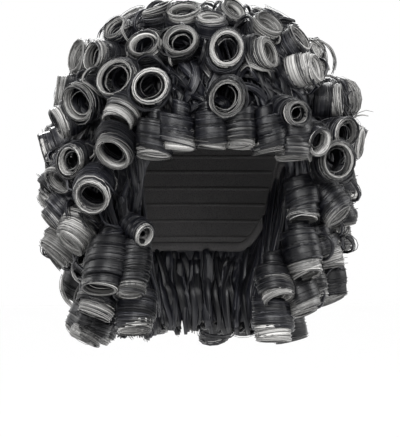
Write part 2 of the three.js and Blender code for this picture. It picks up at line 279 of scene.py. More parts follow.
# The under hair.
# Loose waves of near black fibre sewn to the cap in wefts, which fill the space under the curls. A dense
# dark body carries them, and locks of strands lie over it and hang inside it round the neck.
HAIR_HALF_WIDTH = 0.110
HAIR_FRONT = 0.109
HAIR_BACK = 0.118
HAIR_TOP = 0.111
HAIR_FALL = 0.160
CHEEK_FRONT = 0.080
CHEEK_RISE = -0.3
DOME_POWER = 0.4
HEM_TUCK = 0.36
HEM_POWER = 2.3
HEM_RISE = -0.94
BROW_DROP = 0.062
FACE_HALF_WIDTH = 0.066
NECK_HALF_GAP = 0.050
MOUTH_RISE = -0.5
SMALL_STEP = 0.01
BODY_UNDER = -0.003
LOCKS = 300
BROW_LOCKS = 44
INNER_LOCKS = 80
HEM_LOCKS = 76
EAR_LOCKS = 46
LOCK_STRANDS = 2
LOCK_SPREAD = 2.9
LOCK_HALF_WIDTH = 0.0052
LOCK_HALF_DEPTH = 0.0016
STRAND = 0.0009


def hair_point(bearing, rise, out=0.0):
    """Points of the coat of under hair, from bearings in degrees and rises."""
    turn = np.radians(bearing)
    rise = np.asarray(rise, dtype=float)
    upper = np.clip(1 - rise ** 2, 0, 1) ** DOME_POWER
    lower = 1 - HEM_TUCK * np.abs(np.minimum(rise, 0)) ** HEM_POWER
    share = np.where(rise > 0, upper, lower)
    fall = np.clip(rise / CHEEK_RISE, 0, 1)
    cheek = fall * fall * (3 - 2 * fall)
    ahead = -np.cos(turn)
    depth = np.where(ahead < 0, HAIR_FRONT + (CHEEK_FRONT - HAIR_FRONT) * cheek, HAIR_BACK)
    x = np.sin(turn) * (HAIR_HALF_WIDTH + out) * share
    y = ahead * (depth + out) * share
    z = WIDEST + (np.where(rise > 0, HAIR_TOP, HAIR_FALL) + out) * rise
    return np.stack(np.broadcast_arrays(x, y, z), axis=-1)


def hair_normal(bearing, rise):
    """The coat's outward normals."""
    level = np.minimum(rise, 1 - 3 * SMALL_STEP)
    along = hair_point(np.asarray(bearing) + 1.0, level) - hair_point(np.asarray(bearing) - 1.0, level)
    up = hair_point(bearing, level + SMALL_STEP) - hair_point(bearing, level - SMALL_STEP)
    return unit(np.cross(along, up))


def hair_material(name, black, grey, silver):
    """Glossy fibre. silver says where it turns silver; shade, how pale it is, with painted shade and
    highlight.
    """
    material, nodes, links, shader = new_material(name)
    thread = nodes.new("ShaderNodeUVMap")
    thread.uv_map = "thread"

    def streaks(along, across):
        """Long thin streaks that follow the thread; along and across are how many fit in a metre."""
        stretch = nodes.new("ShaderNodeMapping")
        stretch.inputs["Scale"].default_value = (along, across, 1)
        links.new(thread.outputs["UV"], stretch.inputs["Vector"])
        noise = nodes.new("ShaderNodeTexNoise")
        noise.inputs["Scale"].default_value = 1.0
        noise.inputs["Detail"].default_value = 2.0
        links.new(stretch.outputs["Vector"], noise.inputs["Vector"])
        return noise.outputs["Fac"]

    def stretched(value, low, high, to_low=0.0, to_high=1.0):
        """A value between low and high, made to run smoothly between the other two."""
        span = nodes.new("ShaderNodeMapRange")
        span.interpolation_type = "SMOOTHSTEP"
        span.inputs["From Min"].default_value = low
        span.inputs["From Max"].default_value = high
        span.inputs["To Min"].default_value = to_low
        span.inputs["To Max"].default_value = to_high
        links.new(value, span.inputs["Value"])
        return span.outputs["Result"]

    def mixed(factor, first, second):
        """Two colours mixed."""
        mix = nodes.new("ShaderNodeMix")
        mix.data_type = "RGBA"
        for socket, colour in (("A", first), ("B", second)):
            if isinstance(colour, tuple):
                mix.inputs[6 if socket == "A" else 7].default_value = (*colour, 1)
            else:
                links.new(colour, mix.inputs[6 if socket == "A" else 7])
        links.new(factor, mix.inputs[0])
        return mix.outputs[2]

    wide_streaks = streaks(14, 1150)
    fine_streaks = streaks(24, 2700)
    tip = nodes.new("ShaderNodeAttribute")
    tip.attribute_name = "silver"
    uneven = nodes.new("ShaderNodeMath")
    uneven.operation = "MULTIPLY_ADD"
    uneven.inputs[1].default_value = 0.7
    links.new(streaks(5, 1100), uneven.inputs[0])
    links.new(tip.outputs["Fac"], uneven.inputs[2])
    turned = stretched(uneven.outputs[0], 0.68, 0.98)
    both = nodes.new("ShaderNodeMath")
    both.operation = "MULTIPLY_ADD"
    both.inputs[1].default_value = 0.5
    links.new(fine_streaks, both.inputs[0])
    half_wide = nodes.new("ShaderNodeMath")
    half_wide.operation = "MULTIPLY"
    half_wide.inputs[1].default_value = 0.5
    links.new(wide_streaks, half_wide.inputs[0])
    links.new(half_wide.outputs[0], both.inputs[2])
    dark_hair = mixed(stretched(both.outputs[0], 0.54, 0.68), black, grey)
    pale_hair = mixed(stretched(both.outputs[0], 0.40, 0.60), tuple(c * 0.2 for c in silver), silver)
    colour = mixed(turned, dark_hair, pale_hair)

    lock = nodes.new("ShaderNodeAttribute")
    lock.attribute_name = "shade"
    level = nodes.new("ShaderNodeMapRange")
    level.inputs["To Min"].default_value = 0.30
    level.inputs["To Max"].default_value = 1.3
    links.new(lock.outputs["Fac"], level.inputs["Value"])
    shaded = nodes.new("ShaderNodeVectorMath")
    shaded.operation = "SCALE"
    links.new(colour, shaded.inputs["Vector"])
    links.new(level.outputs["Result"], shaded.inputs["Scale"])
    links.new(shaded.outputs["Vector"], shader.inputs["Base Color"])
    links.new(stretched(fine_streaks, 0.3, 0.7, 0.27, 0.42), shader.inputs["Roughness"])
    shader.inputs["Specular IOR Level"].default_value = 0.2

    coarse = nodes.new("ShaderNodeBump")
    coarse.inputs["Strength"].default_value = 0.7
    coarse.inputs["Distance"].default_value = 0.0004
    links.new(wide_streaks, coarse.inputs["Height"])
    fine = nodes.new("ShaderNodeBump")
    fine.inputs["Strength"].default_value = 0.6
    fine.inputs["Distance"].default_value = 0.0002
    links.new(fine_streaks, fine.inputs["Height"])
    links.new(coarse.outputs["Normal"], fine.inputs["Normal"])
    links.new(fine.outputs["Normal"], shader.inputs["Normal"])
    return material


def round_body(name, rises, point_at):
    """A closed round body: rings spun round the vertical, then moved onto the surface of point_at."""
    mesh = bmesh.new()
    profile = [mesh.verts.new((0 if rise == 1 else 1, 0, rise)) for rise in rises]
    profile.append(mesh.verts.new((0, 0, rises[-1])))
    edges = [mesh.edges.new(pair) for pair in zip(profile, profile[1:])]
    bmesh.ops.spin(
        mesh, geom=profile + edges, axis=(0, 0, 1), cent=(0, 0, 0), angle=2 * math.pi, steps=64,
        use_merge=True, use_duplicate=False,
    )
    bmesh.ops.remove_doubles(mesh, verts=mesh.verts, dist=1e-5)
    for vert in mesh.verts:
        on_axis = math.hypot(vert.co.x, vert.co.y) < 1e-4
        place = point_at(math.degrees(math.atan2(vert.co.x, -vert.co.y)), vert.co.z)
        vert.co = (0, 0, place[2]) if on_axis else place
    bmesh.ops.recalc_face_normals(mesh, faces=mesh.faces)
    data = bpy.data.meshes.new(name)
    mesh.to_mesh(data)
    mesh.free()
    body = bpy.data.objects.new(name, data)
    bpy.context.collection.objects.link(body)
    return body


def face_arch():
    """The face opening, as a solid that runs from the front to the middle of the coat."""
    floor = WIDEST - 1.2 * HAIR_FALL
    mouth = WIDEST + MOUTH_RISE * HAIR_FALL
    hem = WIDEST - HAIR_FALL
    corner = 0.4 * 2 * FACE_HALF_WIDTH
    half = [(NECK_HALF_GAP, floor), (NECK_HALF_GAP, hem), (FACE_HALF_WIDTH, mouth)]
    for i in range(7):
        turn = i / 6 * math.pi / 2
        half.append((
            FACE_HALF_WIDTH - corner * (1 - math.cos(turn)),
            -BROW_DROP - corner * (1 - math.sin(turn)),
        ))
    outline = half + [(-x, z) for x, z in reversed(half)]
    mesh = bmesh.new()
    front = mesh.faces.new([mesh.verts.new((x, -0.14, z)) for x, z in outline])
    grown = bmesh.ops.extrude_face_region(mesh, geom=[front])["geom"]
    bmesh.ops.translate(mesh, verts=[g for g in grown if isinstance(g, bmesh.types.BMVert)], vec=(0, 0.14, 0))
    bmesh.ops.recalc_face_normals(mesh, faces=mesh.faces)
    data = bpy.data.meshes.new("face_arch")
    mesh.to_mesh(data)
    mesh.free()
    arch = bpy.data.objects.new("face_arch", data)
    bpy.context.collection.objects.link(arch)
    return arch


BLACK_HAIR = (0.0040, 0.0042, 0.0062)
GREY_HAIR = (0.110, 0.110, 0.116)
SILVER_HAIR = (0.36, 0.355, 0.345)
black_fibre = hair_material("black_fibre", BLACK_HAIR, GREY_HAIR, SILVER_HAIR)
silver_fibre = hair_material("silver_tipped_fibre", BLACK_HAIR, GREY_HAIR, SILVER_HAIR)

body_rises = [1, 0.99, 0.96, 0.9, 0.8, 0.66, 0.5, 0.33, 0.16, 0, -0.15, -0.3, -0.45, -0.6, -0.78, HEM_RISE]
head_rises = [1, 0.98, 0.93, 0.84, 0.7, 0.5, 0.25, 0, -0.25, -0.5, -0.75, -1, -1.6]
under_body = round_body("under_hair_body", body_rises, lambda b, r: hair_point(b, r, BODY_UNDER))
head_space = round_body("head_space", head_rises, lambda b, r: head_point(b, r, CAP_WALL + 0.0003))
arch_space = face_arch()
for space in (head_space, arch_space):
    cut = under_body.modifiers.new("cut", "BOOLEAN")
    cut.operation = "DIFFERENCE"
    cut.solver = "EXACT"
    cut.object = space
depsgraph = bpy.context.evaluated_depsgraph_get()
cut_mesh = bpy.data.meshes.new_from_object(under_body.evaluated_get(depsgraph))
under_body.modifiers.clear()
under_body.data = cut_mesh
under_body.data.polygons.foreach_set("use_smooth", np.ones(len(under_body.data.polygons), dtype=bool))
under_shade, shade_nodes, shade_links, shade_shader = new_material("under_shade")
shade_place = shade_nodes.new("ShaderNodeTexCoord")
shade_stretch = shade_nodes.new("ShaderNodeMapping")
shade_stretch.inputs["Scale"].default_value = (520, 520, 26)
shade_links.new(shade_place.outputs["Object"], shade_stretch.inputs["Vector"])
shade_streaks = shade_nodes.new("ShaderNodeTexNoise")
shade_streaks.inputs["Scale"].default_value = 1.0
shade_links.new(shade_stretch.outputs["Vector"], shade_streaks.inputs["Vector"])
shade_tone = shade_nodes.new("ShaderNodeValToRGB")
shade_tone.color_ramp.elements[0].color = (*BLACK_HAIR, 1)
shade_tone.color_ramp.elements[0].position = 0.5
shade_tone.color_ramp.elements[1].color = (0.035, 0.035, 0.037, 1)
shade_tone.color_ramp.elements[1].position = 0.72
shade_links.new(shade_streaks.outputs["Fac"], shade_tone.inputs["Fac"])
shade_links.new(shade_tone.outputs["Color"], shade_shader.inputs["Base Color"])
shade_relief = shade_nodes.new("ShaderNodeBump")
shade_relief.inputs["Strength"].default_value = 0.7
shade_relief.inputs["Distance"].default_value = 0.0012
shade_links.new(shade_streaks.outputs["Fac"], shade_relief.inputs["Height"])
shade_links.new(shade_relief.outputs["Normal"], shade_shader.inputs["Normal"])
shade_shader.inputs["Roughness"].default_value = 0.5
shade_shader.inputs["Specular IOR Level"].default_value = 0.15
under_body.data.materials.append(under_shade)
for space in (head_space, arch_space):
    bpy.data.objects.remove(space, do_unlink=True)

chance = np.random.default_rng(7)


def clear_of_face(bearing, rise, side):
    """Bearings moved sideways where the coat's face opening would cut through a strand."""
    level = hair_point(0.0, rise)[..., 2]
    half = np.interp(
        level, [WIDEST - HAIR_FALL, WIDEST + MOUTH_RISE * HAIR_FALL], [NECK_HALF_GAP, FACE_HALF_WIDTH])
    across = hair_point(90.0, rise)[..., 0]
    least = np.degrees(np.arcsin(np.clip((half + 0.004) / across, 0, 1)))
    below = np.clip((-BROW_DROP - level) / 0.006 + 1, 0, 1)
    ahead = np.abs((bearing + 180) % 360 - 180) < 90
    return np.where(ahead, side * np.maximum(side * bearing, least * below), bearing)


taken = []


def give_way(points, own):
    """Points moved out of the rolls of the ringlets that were set before."""
    for root, heading, length, radius in own:
        local = points - root
        along = local @ heading
        beside = local - along[..., None] * heading
        distance = np.linalg.norm(beside, axis=-1)
        share = ROOT_SHARE + (1 - ROOT_SHARE) * np.clip(along / length, 0, 1)
        wanted = radius * share + 0.0004
        inside = (along > -0.002) & (along < length + 0.001) & (distance < wanted)
        push = np.where(inside, wanted / np.maximum(distance, 1e-5), 1.0)
        points = root + along[..., None] * heading + beside * push[..., None]
    return points


def ridged_section(half_width, half_depth, points, dice, square=2.0):
    """A flat oval section with soft ridges, whose heights wander along the lock."""
    count, steps = half_width.shape
    turn = 2 * np.pi * np.arange(points) / points
    step = np.arange(steps)[None, :, None]
    rate = dice.uniform(0.05, 0.25, (count, 1, points))
    phase = dice.uniform(0, 2 * np.pi, (count, 1, points))
    ridge = 1 + 0.12 * np.sin(rate * step + phase)
    power = 2 / np.broadcast_to(square, (count, steps))[..., None]
    wide = np.sign(np.cos(turn)) * np.abs(np.cos(turn)) ** np.minimum(power, 1) * half_width[..., None]
    deep = np.sign(np.sin(turn)) * np.abs(np.sin(turn)) ** power * half_depth[..., None] * ridge
    return np.stack([wide * (0.9 + 0.1 * ridge), deep], axis=-1)


def wavy_locks(
        bearings, rises, falls, point_at, out, dice, swell=0.0, lowest=HEM_RISE - 0.05, steps=13, tipped=1.0):
    """Locks of a few thick strands each, which run down a surface in waves."""
    count = len(bearings)
    side = np.where((bearings + 180) % 360 - 180 < 0, -1.0, 1.0)[:, None]
    bearings = (bearings + 180) % 360 - 180
    ahead = np.abs(bearings) < 40
    brow = 0.31
    over_brow = ahead & (rises > brow + 0.04)
    floor = lowest + dice.uniform(0, 0.09, count)
    falls = np.where(over_brow, np.minimum(falls, rises - brow), np.minimum(falls, rises - floor))
    bearings = np.where(ahead & ~over_brow, side[:, 0] * (40 + np.abs(bearings) * 0.4), bearings)
    down = np.linspace(0, 1, steps)[None, :]
    phase = dice.uniform(0, 2 * np.pi, (count, 1))
    waves = dice.uniform(0.6, 1.5, (count, 1))
    swing = dice.uniform(1.0, 3.6, (count, 1))
    drift = dice.uniform(-9, 9, (count, 1))
    arch = swell * dice.uniform(0.3, 1, (count, 1)) * np.sin(np.pi * down)
    height = dice.uniform(0.0, 0.003, (count, 1)) + arch
    lock_shade = dice.normal(0.45, 0.25, (count, 1))
    tips = np.where(dice.random((count, 1)) > 0.75, dice.uniform(0.2, 0.6, (count, 1)), 0.0) * tipped
    streak_dice = np.random.default_rng(count)
    bundles = []
    for order in range(LOCK_STRANDS + 1):
        is_band = order == 0
        place = np.zeros((count, 1))
        if not is_band:
            place = (order - dice.uniform(0, 1, (count, 1))) / LOCK_STRANDS * 2 - 1
        own = dice.uniform(-0.35, 0.35, (count, 1)) * (not is_band)
        rise = np.clip(rises[:, None] - falls[:, None] * down, lowest, 0.995)
        narrow = 1 / np.clip(np.sqrt(np.clip(1 - np.maximum(rise, 0) ** 2, 0, 1)), 0.33, 1)
        beside = place * LOCK_SPREAD * (0.45 + 0.55 * np.sin(np.pi * (0.1 + 0.85 * down)))
        bearing = bearings[:, None] + narrow * (
            swing * np.sin(2 * np.pi * waves * down + phase + own) + beside + drift * down)
        bearing = clear_of_face(bearing, rise, side)
        above = np.sqrt(1 - place ** 2) + dice.uniform(-0.1, 0.9, (count, 1))
        above = LOCK_HALF_DEPTH * above * (not is_band)
        lift = out + height + above + 0.0018 * np.cos(2 * np.pi * waves * down + phase + own)
        strand = give_way(point_at(bearing, rise, lift), taken)
        outward = unit(point_at(bearing, rise, lift + 0.01) - point_at(bearing, rise, lift))
        along = unit(np.gradient(strand, axis=1))
        taper = np.sin(np.pi * np.linspace(0.06, 0.96, steps)) ** 0.4
        thick = STRAND * dice.uniform(0.7, 1.3, (count, 1)) * taper
        shade = np.clip(lock_shade + dice.normal(0, 0.3, (count, 1)), 0, 1.5)
        silver = tips * np.clip(down * 2.2 - 0.8 + dice.normal(0, 0.3, (count, 1)), 0, 1)
        section = round_section(thick * 0.7, thick * 0.5, 3, np.pi / 2)
        if is_band:
            half_width = LOCK_HALF_WIDTH * dice.uniform(0.6, 1.1, (count, 1)) * taper
            section = ridged_section(half_width, LOCK_HALF_DEPTH * taper, 8, dice)
            shade = np.clip(shade[..., None] + streak_dice.normal(0, 0.25, (count, 1, 8)), 0, 1.5)
        bundles.append(sweep(strand, np.cross(outward, along), section, silver=silver, shade=shade))
    return bundles


outer = wavy_locks(
    chance.uniform(-180, 180, LOCKS), np.sin(chance.uniform(-0.9, 1.0, LOCKS) * np.pi / 2),
    chance.uniform(0.3, 0.55, LOCKS), hair_point, 0.0, chance)
over_brow = wavy_locks(
    chance.uniform(-38, 42, BROW_LOCKS), chance.uniform(0.5, 0.9, BROW_LOCKS),
    chance.uniform(0.25, 0.5, BROW_LOCKS), hair_point, 0.002, chance, swell=0.010)
inner_bearings = np.linspace(60, 300, INNER_LOCKS) + chance.uniform(-2, 2, INNER_LOCKS)
inner_edge = np.array([cap_edge_rise(bearing) for bearing in inner_bearings])
inner = wavy_locks(
    inner_bearings, inner_edge + chance.uniform(-0.12, 0.0, INNER_LOCKS),
    np.full(INNER_LOCKS, 1.3), head_point, -0.0010, chance, lowest=-1.34, tipped=0.0)
hem = wavy_locks(
    np.linspace(50, 310, HEM_LOCKS) + chance.uniform(-3, 3, HEM_LOCKS),
    chance.uniform(-0.78, -0.5, HEM_LOCKS), np.full(HEM_LOCKS, 0.6), hair_point, -0.001, chance,
    lowest=-0.98)
on_the_right = chance.random(EAR_LOCKS) < 0.6
right_bearings = chance.uniform(62, 125, EAR_LOCKS)
left_bearings = chance.uniform(-120, -75, EAR_LOCKS)
over_ears = wavy_locks(
    np.where(on_the_right, right_bearings, left_bearings),
    chance.uniform(-0.35, 0.35, EAR_LOCKS), chance.uniform(0.35, 0.6, EAR_LOCKS), hair_point, 0.001, chance,
    swell=0.006)
under_strands = joined("under_hair_locks", outer + over_brow + inner + hem + over_ears, black_fibre)
for piece in (under_body, under_strands):
    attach(piece, "root")
    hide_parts("hair_coat")

# The ringlets at the front.
# Locks wound on a rod into open barrels about 30 mm wide: black fibre that goes round three or four times
# from the root, and ends in a closed ring of silver fibre round a dark hole. Each is sewn in at its root.
CURL_WIDTH = 0.030
CURL_LENGTH = 0.038
CURL_SEAT = 0.004
ROOT_SHARE = 0.78
RING_TURNS = 1.15
SWELL = 1.08
RING_HALF_BAND = 0.0038
FRONT_RIM_WALLS = (0.0013, 0.0020)
OTHER_RIM_WALLS = (0.0008, 0.0013)
RIM_EDGE = 0.2
STREAK_SILVER = 0.13
STREAK_SHADE = 0.28
BARREL_HALF_WALL = 0.0010
PITCH = 0.0108
OVERLAP = 1.5
LOW_SHADOW = 0.55
OUT_WOBBLE = 0.0009
FORWARD_WOBBLE = 0.0012
SPRUNG_STEPS = 26
LEAD = 0.036
LEAD_STEPS = 7
LEAD_CLEAR = 50
CURL_COLUMNS = ("name", "bearing", "rise", "aim", "lift", "reach", "girth", "silver")
FRONT_RINGLETS = (
    ("front_ringlet_1", -30, 0.47, -12, 0, 1.0, 1.15, 1.35),
    ("front_ringlet_2", -2, 0.38, -8, 0, 1.0, 1.15, 1.35),
    ("front_ringlet_3", 1, 0.69, -5, 14, 0.95, 1.15, 1.4),
    ("front_ringlet_4", -20, 0.73, -12, 18, 0.95, 1.05, 1.6),
    ("front_ringlet_5", -40, 0.73, -34, 22, 0.9, 1.0, 1.3),
    ("front_ringlet_6", -47, 0.51, -30, 5, 0.95, 1.15, 1.3),
    ("front_ringlet_7", 27, 0.29, 18, -5, 1.0, 0.92, 1.3),
)


def direction(bearing, lift):
    """A direction from its bearing round the vertical and its elevation, in degrees."""
    turn = math.radians(bearing)
    up = math.radians(lift)
    return np.array([math.cos(up) * math.sin(turn), -math.cos(up) * math.cos(turn), math.sin(up)])


def placement(row):
    """A ringlet's root, the way it faces, the coat's normal there, its length and its outer radius."""
    heading = direction(row["aim"], row["lift"])
    normal = hair_normal(row["bearing"], row["rise"])
    slant = float(heading @ normal)
    length = CURL_LENGTH * row["reach"]
    radius = CURL_WIDTH / 2 * row["girth"]
    root_edge = radius * ROOT_SHARE * math.sqrt(1 - slant ** 2)
    stand = length * max(0.0, slant) + root_edge - CURL_SEAT
    root = hair_point(row["bearing"], row["rise"]) + normal * stand - heading * length
    return root, heading, normal, length, radius


def ringlet(row, seed, strands=10, turn_steps=14, points=12):
    """One barrel curl, from where it leaves the coat to its silver end: strands wound on a rod over a
    thinner lining of hair."""
    dice = np.random.default_rng(seed)
    root, heading, normal, length, radius = placement(row)
    hand = 1 if dice.random() < 0.5 else -1
    barrel = length - RING_HALF_BAND
    turns = RING_TURNS + barrel / PITCH + 0.3
    pitch = barrel * (turns - RING_TURNS + 0.4) / (turns - RING_TURNS) ** 2
    flare = dice.uniform(0.78, 0.92)
    oval = dice.uniform(-0.13, 0.13)
    sway = dice.uniform(-1, 1, 2) * 0.005
    tilt = dice.uniform(-0.26, 0.26)
    slack = dice.uniform(0, 2 * np.pi, 3)
    at_front = row["rise"] > 0.2 and abs(row["bearing"]) < 45
    ring_half_wall = dice.uniform(*(FRONT_RIM_WALLS if at_front else OTHER_RIM_WALLS))

    first = normal - heading * float(normal @ heading)
    if np.linalg.norm(first) < 0.2:
        first = np.cross(heading, [1.0, 0.0, 0.0])
    first = unit(first)
    second = np.cross(heading, first)

    # Where the lock comes down the coat from above, and the angle at which it meets the barrel.
    reach_up = HAIR_TOP if row["rise"] > -0.2 else HAIR_FALL
    lead_rise = min(row["rise"] + LEAD / reach_up, 0.985)
    side = -1.0 if row["bearing"] < 0 else 1.0
    lead_from = row["bearing"] if row["rise"] > 0 else side * max(abs(row["bearing"]), LEAD_CLEAR)
    down = unit(hair_point(row["bearing"], row["rise"]) - hair_point(lead_from, lead_rise, 0.001))
    start_angle = math.atan2(-float(down @ first) * hand, float(down @ second) * hand)

    def coil(left, forward, outward):
        """Points of the barrel with left turns still to go, moved forward and outward on the band."""
        past = np.maximum(left - RING_TURNS, 0)
        back = pitch * past ** 2 / (past + 0.4) + RING_HALF_BAND
        share = np.clip(back / length, 0, 1)
        bulge = np.where(share < 0.4, SWELL - (SWELL - flare) * np.cos(share / 0.4 * np.pi / 2) ** 2,
                         SWELL - (SWELL - ROOT_SHARE) * ((share - 0.4) / 0.6) ** 2)
        wall = BARREL_HALF_WALL + (ring_half_wall - BARREL_HALF_WALL) * ringed(left)
        angle = start_angle + hand * 2 * np.pi * (turns - left)
        looseness = 1 - 0.7 * ringed(left)
        closed = np.clip((length - back) / (0.3 * length), 0, 1)
        out = (radius * bulge - wall) * np.sqrt(0.05 + 0.95 * closed) + outward
        out = out + OUT_WOBBLE * looseness * np.sin(0.83 * angle + slack[0])
        forward = forward + FORWARD_WOBBLE * looseness * np.sin(0.61 * angle + slack[1])
        forward = forward + tilt * out * np.cos(angle + slack[2]) * (0.4 + 0.6 * ringed(left))
        bend = np.sin(share * np.pi)[..., None] * (first * sway[0] + second * sway[1])
        return (root + bend + heading * (length - back + forward)[..., None]
                + first * (out * (1 + oval) * np.cos(angle))[..., None]
                + second * (out * (1 - oval) * np.sin(angle))[..., None])

    def ringed(left):
        """How much of the closed ring the band has become with left turns to go."""
        share = np.clip((RING_TURNS + 0.5 - left) / 1.1, 0, 1)
        return share * share * (3 - 2 * share)

    def led_in(begin, coiled):
        """A path that comes down from begin and turns into the coil."""
        meet = coiled[:, :1]
        slope = unit(coiled[:, 1:2] - meet)
        begin = begin[:, None]
        gap = np.linalg.norm(meet - begin, axis=-1, keepdims=True)
        t = np.linspace(0, 1, LEAD_STEPS + 1)[None, :-1, None]
        lead = ((2 * t ** 3 - 3 * t ** 2 + 1) * begin + (t ** 3 - 2 * t ** 2 + t) * down * gap * 1.1
                + (3 * t ** 2 - 2 * t ** 3) * meet + (t ** 3 - t ** 2) * slope * gap * 0.9)
        return give_way(np.concatenate([lead, coiled], axis=1), taken)

    def silvered(left, turns_silver):
        """How silver the hair is with left turns to go."""
        return np.clip(0.45 + (turns_silver - left) / 1.4, 0, 0.66)

    # The lock itself, a flat band whose turns overlap.
    steps = int(turn_steps * turns)
    part = np.linspace(0, 1, steps)
    left = (turns * (1 - part) ** 1.15)[None]
    on_ring = ringed(left)
    path = led_in(hair_point([lead_from], lead_rise, 0.001), coil(left, 0.0 * left, 0.0 * left))
    beside = np.cross(down, normal)
    beside = beside if float(beside @ heading) >= 0 else -beside
    blend = np.concatenate([np.linspace(0, 1, LEAD_STEPS), np.ones(steps)])[:, None]
    across = (beside * (1 - blend) + heading * blend)[None]
    fade = np.clip(left / 0.4, 0.05, 1) ** 0.5
    half_band = (PITCH / 2 * OVERLAP + (RING_HALF_BAND - PITCH / 2 * OVERLAP) * on_ring) * (0.4 + 0.6 * fade)
    half_wall = (BARREL_HALF_WALL + (ring_half_wall - BARREL_HALF_WALL) * on_ring) * fade
    lead_taper = np.linspace(0.35, 1, LEAD_STEPS)[None]
    half_band = np.concatenate([lead_taper * half_band[0, 0], half_band], axis=1)
    half_wall = np.concatenate([lead_taper * half_wall[0, 0], half_wall], axis=1)
    lead_left = np.full((1, LEAD_STEPS), turns)
    turned = np.concatenate([lead_left, left], axis=1)
    # Painted shade: the lower ringlets and the fringe that hangs straight down are made darker, except where
    # they turn into the ring.
    shadow = LOW_SHADOW * max(0.0, min(1.0, -row["rise"] / 0.5))
    shadow = max(shadow, LOW_SHADOW * (row["lift"] < -80))
    # Painted highlight and shade: each turn is paler on one side and darker on the other, lined up from turn
    # to turn, over the lock's own random tone.
    band_shade = dice.normal(0.45, 0.26) - shadow * (1 - ringed(turned)) + dice.uniform(0.15, 0.45) * np.sin(
        turned * 2 * np.pi + dice.uniform(0, 6))
    streak_dice = np.random.default_rng(seed + 5000)
    edge = RIM_EDGE * max(0.3, min(1.0, 2.4 - row["silver"]))
    lock = sweep(
        path, across, ridged_section(half_band, half_wall, points, dice, square=1.3 + 1.3 * ringed(turned)),
        silver=(silvered(turned, row["silver"])[..., None] + streak_dice.normal(0, STREAK_SILVER, points)
                + edge * ringed(turned)[..., None] * np.cos(2 * np.pi * np.arange(points) / points)),
        shade=np.clip(band_shade[..., None] + streak_dice.normal(0, STREAK_SHADE, points), 0, 1.3))

    # The strands side by side on its outside and round its rim, the last few of them thin and loose.
    wander = dice.uniform(0.10, 0.30, (strands, 1)) * np.sin(
        dice.uniform(0.8, 2.2, (strands, 1)) * left + dice.uniform(0, 2 * np.pi, (strands, 1)))
    places = -1.1 + 4.4 * (np.arange(strands)[:, None] + dice.uniform(0.1, 0.9, (strands, 1))) / strands
    fine = dice.uniform(0.3, 0.65, (strands, 1))
    off = dice.uniform(0.0003, 0.0008, (strands, 1))
    loose = dice.permutation(strands)[:max(2, strands // 4)]
    off[loose] = dice.uniform(0.0006, 0.0022, (len(loose), 1))
    away = np.zeros((strands, 1))
    away[loose[:2]] = dice.uniform(0.0005, 0.003, (2, 1))
    away = away * np.clip(np.sin(0.9 * left + dice.uniform(0, 6, (strands, 1))), 0, 1)
    ends = dice.uniform(-0.05, 0.3, (strands, 1))
    own_left = np.maximum(left + ends * part[None] ** 3, 0.0)
    turn = places + wander
    on_ring = ringed(own_left)
    half_band = PITCH / 2 * OVERLAP + (RING_HALF_BAND - PITCH / 2 * OVERLAP) * on_ring
    half_wall = BARREL_HALF_WALL + (ring_half_wall - BARREL_HALF_WALL) * on_ring
    forward = np.sign(np.cos(turn)) * np.abs(np.cos(turn)) ** 0.8 * half_band * 0.95 + off * np.cos(turn)
    outward = np.sign(np.sin(turn)) * np.abs(np.sin(turn)) ** 0.77 * half_wall + off * np.sin(turn) + away
    coiled = coil(own_left, forward, outward)
    spread = dice.uniform(-1, 1, strands)
    lead_bearing = lead_from + spread * 5 / max(0.3, math.sqrt(max(0.0, 1 - max(lead_rise, 0) ** 2)))
    begin = hair_point(lead_bearing, lead_rise + dice.uniform(-0.05, 0.02, strands))
    begin = begin + hair_normal(lead_bearing, lead_rise) * dice.uniform(0.001, 0.004, strands)[:, None]
    paths = led_in(begin, coiled)
    total = paths.shape[1]
    share = np.linspace(0, 1, total)
    taper = np.clip(share * 6 + 0.35, 0, 1) * np.clip((1 - share) * 9 + 0.25, 0, 1)
    thick = STRAND * fine * taper
    thick[loose] *= 0.45
    turns_silver = row["silver"] - 0.75 * np.clip(places - 0.9, 0, 1) + dice.normal(0.0, 0.35, (strands, 1))
    lead_left = np.full((strands, LEAD_STEPS), turns)
    around = np.concatenate([np.zeros((strands, LEAD_STEPS)), own_left], axis=1) * 2 * np.pi
    # Painted shade: the strands of the lower ringlets and the fringe are made darker.
    shade = dice.normal(0.35, 0.2) - 0.5 * shadow + dice.normal(0.0, 0.45, (strands, 1))
    # Painted highlight and shade: each turn of a strand is paler on one side and darker on the other.
    shade = np.clip(shade + dice.uniform(0.2, 0.5) * np.sin(around + dice.uniform(0, 2 * np.pi)), 0, 1.5)
    wound = sweep(
        paths, heading, round_section(thick, thick * 0.75, 3, hand * np.pi / 2),
        silver=silvered(np.concatenate([lead_left, own_left], axis=1), turns_silver), shade=shade)

    # A few strands that have sprung inwards and show in its hole.
    within = 5 if strands > 8 else 2
    back = dice.uniform(0.2, 1.6, (within, 1)) + 1.3 * (1 - part[None, -SPRUNG_STEPS:])
    bow = np.sin(np.pi * np.linspace(0.1, 1, SPRUNG_STEPS)) ** 0.5
    inward = -0.0020 - dice.uniform(0.0008, 0.0048, (within, 1)) * bow
    sprung = coil(back, dice.uniform(-0.004, 0.002, (within, 1)) * np.sin(3 * back), inward)
    taper = np.sin(np.pi * np.linspace(0.1, 0.95, SPRUNG_STEPS)) ** 0.5
    thin = STRAND * dice.uniform(0.25, 0.5, (within, 1)) * taper
    inner_strands = sweep(
        sprung, heading, round_section(thin, thin, 3), silver=dice.uniform(0.2, 0.75, (within, 1)),
        shade=dice.uniform(0, 1, (within, 1)))
    return [lock, wound, inner_strands], (root, heading, length, radius)


def set_ringlets(table, first_seed):
    """Makes each ringlet of a table as a piece of its own, in place of its plain solid."""
    for order, values in enumerate(table):
        row = dict(zip(CURL_COLUMNS, values))
        bundles, roll = ringlet(row, first_seed + order)
        taken.append(roll)
        piece = joined(row["name"] + "_hair", bundles, silver_fibre)
        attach(piece, "root")
        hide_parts(row["name"])


set_ringlets(FRONT_RINGLETS, 100)

